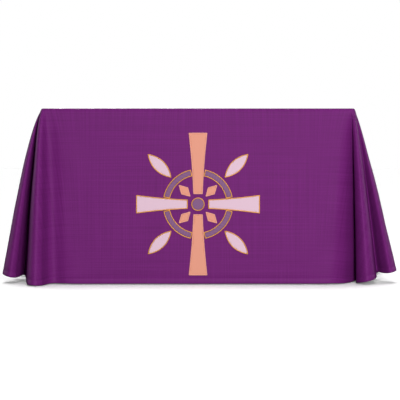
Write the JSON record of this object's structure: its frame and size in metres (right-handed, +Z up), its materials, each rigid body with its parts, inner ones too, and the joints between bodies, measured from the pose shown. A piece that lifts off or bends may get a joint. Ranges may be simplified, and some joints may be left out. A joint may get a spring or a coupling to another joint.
{
  "type": "altar cloth draped over a plain altar table",
  "caption": "Full-length altar cloth with rounded corners lying over a plain wooden table, falling in flutes at the corners, with a sewn-on cross emblem on the front.",
  "frame": {"origin": "on the floor under the middle of the table", "axes": "+X to the right along the table, -Y out of the front with the emblem, +Z up"},
  "size_m": [2.198, 1.016, 0.9623],
  "materials": {
    "cloth_purple": "matte slub weave",
    "patch_peach": "satin stitched",
    "patch_lilac": "satin stitched",
    "patch_violet": "satin stitched",
    "gold_thread": "twisted cord",
    "table_wood": "oiled"
  },
  "bodies": {
    "root": {"altar_cloth": "cloth_purple", "altar_top": "table_wood", "altar_leg_front_left": "table_wood", "altar_leg_front_right": "table_wood", "altar_leg_back_left": "table_wood", "altar_leg_back_right": "table_wood", "altar_apron_front": "table_wood", "altar_apron_back": "table_wood", "altar_apron_left": "table_wood", "altar_apron_right": "table_wood", "emblem_arm_top": "patch_peach", "emblem_arm_bottom": "patch_peach", "emblem_lozenge_upper_right": "patch_peach", "emblem_lozenge_upper_left": "patch_peach", "emblem_lozenge_lower_left": "patch_peach", "emblem_lozenge_lower_right": "patch_peach", "emblem_arm_left": "patch_lilac", "emblem_arm_right": "patch_lilac", "emblem_petal_upper_right": "patch_lilac", "emblem_petal_upper_left": "patch_lilac", "emblem_petal_lower_left": "patch_lilac", "emblem_petal_lower_right": "patch_lilac", "emblem_ring_upper_right": "patch_violet", "emblem_ring_upper_left": "patch_violet", "emblem_ring_lower_left": "patch_violet", "emblem_ring_lower_right": "patch_violet", "emblem_roundel": "patch_violet"}
  },
  "joints": []
}
